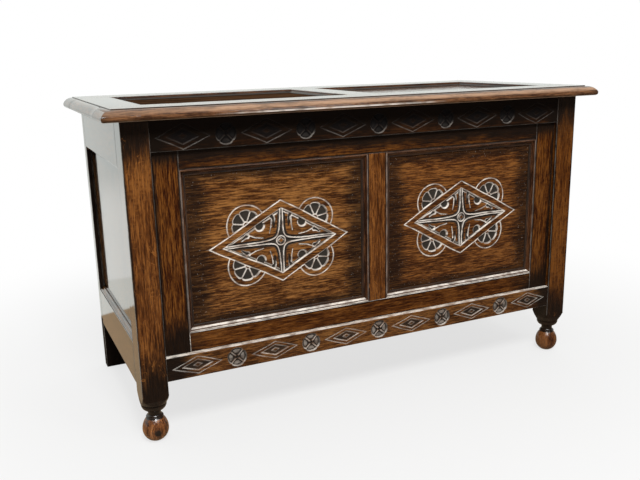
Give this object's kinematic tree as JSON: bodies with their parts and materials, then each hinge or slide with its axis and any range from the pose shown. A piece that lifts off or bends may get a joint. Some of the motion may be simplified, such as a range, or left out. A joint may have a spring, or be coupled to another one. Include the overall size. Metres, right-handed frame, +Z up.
{
  "type": "coffer chest",
  "caption": "Joined oak coffer chest with a carved panelled front, turned ball feet and a hinged, framed lid with a thumb-moulded edge.",
  "frame": {"origin": "on the floor, under the middle of the chest", "axes": "+X to the chest's right-hand end along its length, +Y to the back, +Z up; the carved front faces -Y"},
  "size_m": [1.067, 0.483, 0.6248],
  "materials": {
    "oak_frame": "dark polished oak, mid brown at the middle of each face and nearly black at the edges",
    "oak_panel": "polished oak, golden brown fading to dark brown at the edges",
    "oak_lid": "dark oak with a high polish",
    "oak_moulding": "dark polished oak, rubbed paler on the arrises",
    "oak_plain": "plain oak with a thin stain",
    "hinge_brass": "dulled brass"
  },
  "bodies": {
    "carcase": {"back_bottom_rail": "oak_plain", "back_muntin": "oak_plain", "back_panel_left": "oak_plain", "back_panel_right": "oak_plain", "back_top_rail": "oak_plain", "base_rail": "oak_frame", "bottom_batten_front": "oak_plain", "bottom_batten_rear": "oak_plain", "bottom_board_1": "oak_plain", "bottom_board_2": "oak_plain", "bottom_board_3": "oak_plain", "frieze_rail": "oak_frame", "front_frame_bottom_rail": "oak_frame", "front_frame_muntin": "oak_frame", "front_frame_stile_left": "oak_frame", "front_frame_stile_right": "oak_frame", "front_frame_top_rail": "oak_frame", "front_moulding_left_bottom": "oak_moulding", "front_moulding_left_inner": "oak_moulding", "front_moulding_left_outer": "oak_moulding", "front_moulding_left_top": "oak_moulding", "front_moulding_right_bottom": "oak_moulding", "front_moulding_right_inner": "oak_moulding", "front_moulding_right_outer": "oak_moulding", "front_moulding_right_top": "oak_moulding", "front_panel_left": "oak_panel", "front_panel_right": "oak_panel", "front_post_left": "oak_frame", "front_post_right": "oak_frame", "hinge_leaf_carcase_left": "hinge_brass", "hinge_leaf_carcase_right": "hinge_brass", "hinge_pin_left": "hinge_brass", "hinge_pin_right": "hinge_brass", "rear_post_left": "oak_frame", "rear_post_right": "oak_frame", "side_bottom_rail_left": "oak_frame", "side_bottom_rail_right": "oak_frame", "side_panel_left": "oak_panel", "side_panel_right": "oak_panel", "side_top_rail_left": "oak_frame", "side_top_rail_right": "oak_frame"},
    "lid": {"hinge_leaf_lid_left": "hinge_brass", "hinge_leaf_lid_right": "hinge_brass", "lid_end_rail_left": "oak_lid", "lid_end_rail_right": "oak_lid", "lid_front_rail": "oak_lid", "lid_moulding_left_front": "oak_moulding", "lid_moulding_left_inner": "oak_moulding", "lid_moulding_left_outer": "oak_moulding", "lid_moulding_left_rear": "oak_moulding", "lid_moulding_right_front": "oak_moulding", "lid_moulding_right_inner": "oak_moulding", "lid_moulding_right_outer": "oak_moulding", "lid_moulding_right_rear": "oak_moulding", "lid_muntin": "oak_lid", "lid_panel_left": "oak_panel", "lid_panel_right": "oak_panel", "lid_rear_rail": "oak_lid"}
  },
  "joints": [
    {"name": "lid_hinge", "type": "hinge", "parent": "carcase", "child": "lid", "pos_m": [0, 0.2309, 0.603], "axis": [-1, 0, 0], "range_deg": [0, 105]}
  ]
}
